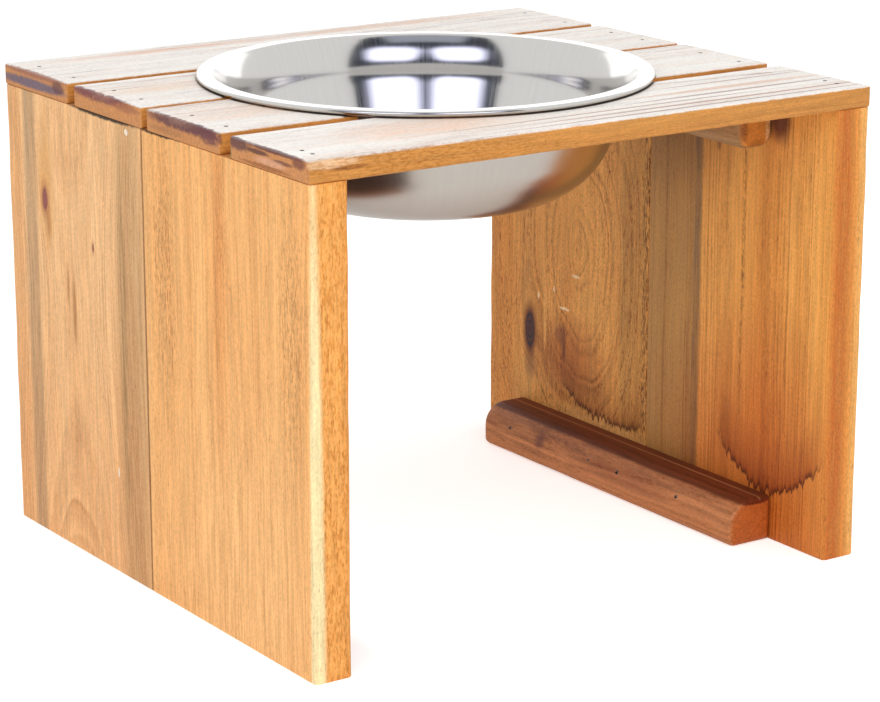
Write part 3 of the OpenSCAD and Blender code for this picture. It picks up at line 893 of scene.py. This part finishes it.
left_front = solid_wood(
    "oiled_pine_left_front", "Z", (-66, -218), 2.6, ("#fdc079", "#efa963", "#cb8442"), seed=2.0,
    rings=0.45, fibres=0.14, wander_mm=3.5, speckle=0.55, marks=[
        mark((150, -15, L_FACE), (60, 9, 9), "#b47a40", 0.6, 0.6, pattern="pore"),
        mark((145, -124, L_FACE), (60, 9, 9), "#b47a40", 0.6, 0.6, pattern="pore"),
        stain((150, -64, L_FACE), (90, 7, 9), "#e8c8a4", 0.4, 0.7),
        # Painted light: the lower part of the outer face is painted lighter
        mark((10, -80, L_FACE), (80, 60, 9), "#ffd092", 0.55, 0.8, pattern="fibre"),
        mark((110, 3.7, L_FACE), (600, 0.5, 3), "#6e4020", 0.5, 0.5, 0.2),
        mark((219.6, -12, L_FACE), (1.3, 17, 3), "#1c0f08", 0.9, 0.3, 0.5),
        # Painted shade: the inner face is dark brown, for the shade inside the stand that the bowl's steel
        # reflects
        mark((110, 250, L_INNER), (900, 600, 5), "#48250f", 0.9, 0.2),
        mark((110, -389.5, L_INNER), (900, 500, 5), "#48250f", 0.9, 0.2),
        mark((110, FRONT - 2, -142), (600, 6, 17), "#fbb05e", 0.9, 0.3, 1),
        mark((110, FRONT - 2, -139), (600, 6, 12), "#d8882e", 0.75, 0.35, 1, pattern="pore"),
        mark((-60, FRONT - 2, L_FACE - 0.5), (330, 5.2, 6.4), "#fbe6b0", 0.97, 0.2, 1.0),
    ])
right_rear = solid_wood(
    "oiled_pine_right_rear", "Z", (62, 172), 4.2, ("#f4b260", "#dc8f42", "#874c1e"), seed=3.0,
    arch=(114, -26), rings=0.45, fibres=0.16, wander_mm=11, speckle=1.5, grit=0.15,
    scorch=dict(curve=SCORCH_REAR, teeth=16,
                reach=24, amount=0.7, tone="#a06a46", edge_amount=0.85, edge_tone="#3a1a0a"), marks=[
        stain((110, 12, R_INNER), (420, 11, 9), "#d4d8d8", 0.7, 0.35),
        mark((110, 1.5, R_INNER), (420, 3.0, 9), "#6d3f20", 0.85, 0.6, pattern="pore"),
        # Painted shade: greyer and darker near the top, for the shade under the slats and the bowl
        stain((216, 40, R_INNER), (26, 80, 9), "#c8b8a4", 0.7, 0.7),
        stain((120, 128, R_INNER), (300, 14, 9), "#f4e4d0", 0.8, 0.6),
        mark((14, 42, R_INNER), (14, 58, 9), "#e8ad68", 0.8, 0.35),
        stain((52, 66, R_INNER), (18, 26, 9), "#b88868", 0.7, 0.8, 3),
        mark((43, 101, R_INNER), (8, 5, 9), "#5a3030", 0.5, 0.7),
        mark((60, 71, R_INNER), (10, 1.4, 9), "#6d3c1e", 0.8, 0.4, 3),
        mark((64, 74, R_INNER), (5, 4, 9), "#8c5230", 0.7, 0.5),
        mark((70, 88, R_INNER), (16, 1.2, 9), "#f0b464", 0.75, 0.5, 2),
        mark((99, 61, R_INNER), (0.8, 3.4, 3), "#fbdcae", 0.9, 0.3, 0.4),
        mark((88, 80, R_INNER), (1.6, 0.8, 3), "#fbdcae", 0.9, 0.3, 0.4),
        mark((79.5, 71, R_INNER), (0.8, 4.4, 3), "#fbdcae", 0.9, 0.3, 0.4),
        mark((82, 94, R_INNER), (2.0, 0.8, 3), "#fbdcae", 0.9, 0.3, 0.4),
    ], knots=[
        dict(at=(61.5, 101.5, R_INNER), size=(13, 5.2, 14), tone="#2c2430", halo="#874a22",
             halo_amount=0.85, halo_reach=1.7),
    ])
right_front = solid_wood(
    "oiled_pine_right_front", "Z", (-77, 192), 2.3, ("#fdb860", "#e89a44", "#a9622a"), seed=4.0,
    rings=0.75, fibres=0.15, wander_mm=3, speckle=0.7, grit=0.1,
    scorch=dict(curve=SCORCH_FRONT, teeth=18,
                reach=30, amount=0.75, tone="#a86a44", edge_amount=0.85, edge_tone="#3a160a"), marks=[
        stain((110, -20.5, R_INNER), (600, 20.5, 9), "#dce4ee", 0.8, 0.08, 0.8),
        mark((110, -20.5, R_INNER), (600, 20.5, 9), "#8e6c48", 0.6, 0.15, pattern="fibre"),
        mark((110, -39, R_INNER), (600, 2.6, 9), "#7d6048", 0.7, 0.5, pattern="fibre"),
        # Painted shade: greyer and darker near the top, for the shade under the slats and the bowl
        stain((218, -22, R_INNER), (44, 40, 9), "#a8988c", 0.75, 0.7),
        stain((110, -92, R_INNER), (160, 12, 9), "#e8c898", 0.5, 0.7),
        mark((140, -74, R_INNER), (80, 1.4, 9), "#8a5024", 0.8, 0.6, pattern="pore"),
        stain((2, -86, R_INNER), (92, 66, 12), "#cc8c54", 0.75, 0.6),
        mark((209, -98, R_INNER), (11, 8, 8), "#4f2630", 0.85, 0.5),
        mark((190, -54, R_INNER), (4, 1.2, 8), "#8a5530", 0.8, 0.5),
        mark((110, FRONT - 2, 140), (600, 5, 10), "#e08c3c", 0.85, 0.3, 1),
        mark((110, FRONT - 2, 138.5), (600, 5, 5), "#b4561e", 0.75, 0.5, 1, pattern="fibre"),
        mark((110, FRONT - 2, 152), (600, 5, 5), "#f4b464", 0.8, 0.5, 1),
    ])
cleat_wood = solid_wood(
    "oiled_cleat_wood", "Y", (-20, 150), 2.6, ("#d48c5a", "#b87242", "#7f4828"), seed=5.0,
    rings=0.65, fibres=0.18, speckle=0.9, end_tone="#b8560a", end_amount=0.8, marks=[
        # Painted shade: the right cleat's top face is darkened, for the shade of the stand's top on it
        stain((0, 22.5, 124), (300, 2.8, 12.5), "#845430", 0.9, 0.18, 0.3),
        mark((0, 22.6, 127), (300, 1.2, 0.7), "#a8704c", 0.75, 0.5, 0.2),
        mark((58.4, 14, 109), (3.5, 4.5, 8), "#5a3038", 0.6, 0.7),
        stain((-10, 13, 109), (30, 4, 8), "#b48c90", 0.7, 0.8, pattern="fibre"),
    ])
# Painted shade: the upper cleats' sides are toned greyer and darker than the lower cleats', for the shade
# under the slats; their cut ends stay bright orange
upper_cleat_wood_painted_shade = solid_wood(
    "oiled_upper_cleat_wood", "Y", (190, 60), 2.4, ("#b88c5e", "#9a7248", "#684628"), seed=11.0,
    rings=0.6, fibres=0.17, speckle=0.8, end_tone="#e08e38", end_amount=0.85, marks=[
        mark((-93.5, 204, 116), (2, 5, 2.2), "#6a3418", 0.85, 0.5, 1, pattern="fibre"),
        mark((-93.5, 202, 131), (2, 8, 2), "#fbdca8", 0.6, 0.5, 1, pattern="fibre"),
        mark((-93.5, 196, 124), (2, 3, 5), "#8a4a1c", 0.8, 0.5, 1, pattern="fibre"),
    ])
# Each slat's marks, front slat first: burnt upper edges over orange end grain at the left end, the
# front slat's split corner, and lines and warmer patches in the top's painted pale highlight
slat_marks = [
    [mark((L_FACE, -82, 227.6), (1.5, 10, 3.6), "#5b3840", 0.85, rag=1.4),
     mark((L_FACE, -74.5, 222), (1.5, 2.0, 4), "#8f8656", 0.8, rag=0.6),
     mark((L_FACE, -98, 226), (1.5, 9, 1.1), "#54302e", 0.85, rag=1.0),
     mark((L_FACE, -112, 228.4), (1.5, 22, 1.1), "#5e3436", 0.85, rag=0.8),
     mark((L_FACE, -118, 224.5), (1.5, 8, 0.9), "#6e4038", 0.8, rag=0.8),
     mark((L_FACE, -108, 223), (1.5, 12, 1.6), "#e0a888", 0.7, rag=0.8),
     mark((L_FACE, -131, 226.6), (1.5, 5, 2.6), "#7a4438", 0.8, rag=1.0),
     mark((L_FACE, -104, 220.6), (1.5, 20, 0.9), "#a06030", 0.8, rag=1.0),
     mark((-142, FRONT, 227.0), (14, 3, 2.2), "#edc49a", 0.9, 0.3, 0.5),
     mark((-133, FRONT, 224.4), (9, 3, 0.9), "#7a4018", 0.85, 0.4, 0.4),
     mark((-100, FRONT, 224), (70, 3, 7), "#c07c30", 0.75, 0.6, pattern="pore"),
     mark((-72, -106, TOP_Z), (38, 15, 3), "#f2b88c", 0.7, 0.8, pattern="fibre"),
     mark((60, -133.5, TOP_Z), (100, 0.9, 3), "#a98478", 0.85, 0.5, 0.5),
     mark((80, -127, TOP_Z), (110, 1.1, 3), "#b4806a", 0.85, 0.5, 0.6),
     mark((20, -120, TOP_Z), (90, 0.9, 3), "#b48a70", 0.8, 0.5, 0.6),
     mark((95, -113, TOP_Z), (60, 1.3, 3), "#a88478", 0.8, 0.5, 0.8),
     mark((100, -104, TOP_Z), (50, 2.6, 3), "#e0b090", 0.7, 0.6, 1.0),
     mark((110, -92, TOP_Z), (44, 1.0, 3), "#b48a78", 0.75, 0.5, 0.8)],
    [mark((L_FACE, -36, 227.4), (1.5, 32, 3.4), "#5e3540", 0.9, rag=1.6),
     mark((L_FACE, -58, 225.4), (1.5, 9, 3.4), "#6b3a42", 0.8, rag=1.6),
     mark((L_FACE, -20, 222), (1.5, 16, 1.6), "#b07848", 0.7, rag=1.4),
     mark((-120, -30, TOP_Z), (30, 14, 3), "#ecc0a0", 0.7, 0.8, pattern="fibre")],
    [mark((L_FACE, 44, 228), (1.5, 28, 3.0), "#7a4046", 0.9, rag=1.6),
     mark((L_FACE, 18, 226), (1.5, 12, 2), "#a86848", 0.7, rag=1.6),
     mark((-120, 40, TOP_Z), (30, 10, 3), "#ecc8a8", 0.6, 0.8, pattern="fibre")],
    [mark((L_FACE, 108, 228), (1.5, 32, 1.6), "#9c6658", 0.75, rag=1.2),
     mark((L_FACE, 112, 223.2), (1.5, 34, 2.4), "#625c74", 0.85, rag=1.2),
     mark((L_FACE, 84, 225), (1.5, 6, 3), "#5e3a42", 0.75, rag=1.2),
     mark((-60, 128, TOP_Z), (70, 4, 3), "#e6b090", 0.8, 0.6, pattern="fibre"),
     mark((60, 130, TOP_Z), (60, 5, 3), "#e0a680", 0.8, 0.6, pattern="fibre")],
]
slat_woods = []
for n, seed in enumerate((6.0, 7.0, 8.0, 9.0)):
    slat_woods.append(solid_wood(
        f"slat_wood_with_painted_glare_{n + 1}", "X", (-110 + 60 * n, 120), 3.0, ("#dc9a4e", "#c27c38", "#85481e"),
        seed=seed, rings=0.6, fibres=0.13, speckle=0.5, end_tone="#cf8e58", end_amount=0.85,
        marks=slat_marks[n], finish=painted_glare_top(TOP_Z)))

for node_name, radii, seam, wood in (
        ("left_front_board", (BOARD_EDGE_R, BOARD_EDGE_R, SEAM_EDGE_R, SEAM_EDGE_R), 1, left_front),
        ("left_rear_board", (SEAM_EDGE_R, SEAM_EDGE_R, BOARD_EDGE_R, BOARD_EDGE_R), -1, left_rear),
        ("right_front_board", (BOARD_EDGE_R, BOARD_EDGE_R, SEAM_EDGE_R, SEAM_EDGE_R), 1, right_front),
        ("right_rear_board", (SEAM_EDGE_R, SEAM_EDGE_R, BOARD_EDGE_R, BOARD_EDGE_R), -1, right_rear)):
    finish_piece(board(node_name, radii, seam), node_name, wood)

for part_name, radii, wood in (("_lower_cleat", (4.0, 1.0, 1.0, 12.0), cleat_wood),
                               ("_upper_cleat", (6.0, 6.5, 1.0, 1.5), upper_cleat_wood_painted_shade)):
    for word in ("left", "right"):
        finish_piece(cleat(word + part_name, radii), word + part_name, wood)

for node_name, sides, wood in (("front_slat", (1, 0), 0), ("front_middle_slat_left", (0, 1), 1),
                               ("front_middle_slat_right", (0, -1), 1),
                               ("rear_middle_slat_left", (0, 1), 2),
                               ("rear_middle_slat_right", (0, -1), 2), ("rear_slat", (-1, 0), 3)):
    finish_piece(slat(node_name, *sides), node_name, slat_woods[wood])

steel_bowl(satin_steel())

wire = nail_steel()
maker = nail_tree()
for side, word in ((LEFT, "left"), (RIGHT, "right")):
    sideways = (0.0, -side * math.pi / 2, 0.0)
    for part_name, x, z, places, turn in (
            ("_slat_nails", SLAT_NAIL_X, TOP_Z, SLAT_NAIL_Y, (0.0, 0.0, 0.0)),
            ("_lower_cleat_nails", LOWER_NAIL_X, LOWER_NAIL_Z, LOWER_NAIL_Y, sideways),
            ("_upper_cleat_nails", UPPER_NAIL_X, UPPER_NAIL_Z, UPPER_NAIL_Y, sideways)):
        nails(maker, word + part_name, [(side * x, y, z) for y in places], turn, wire)
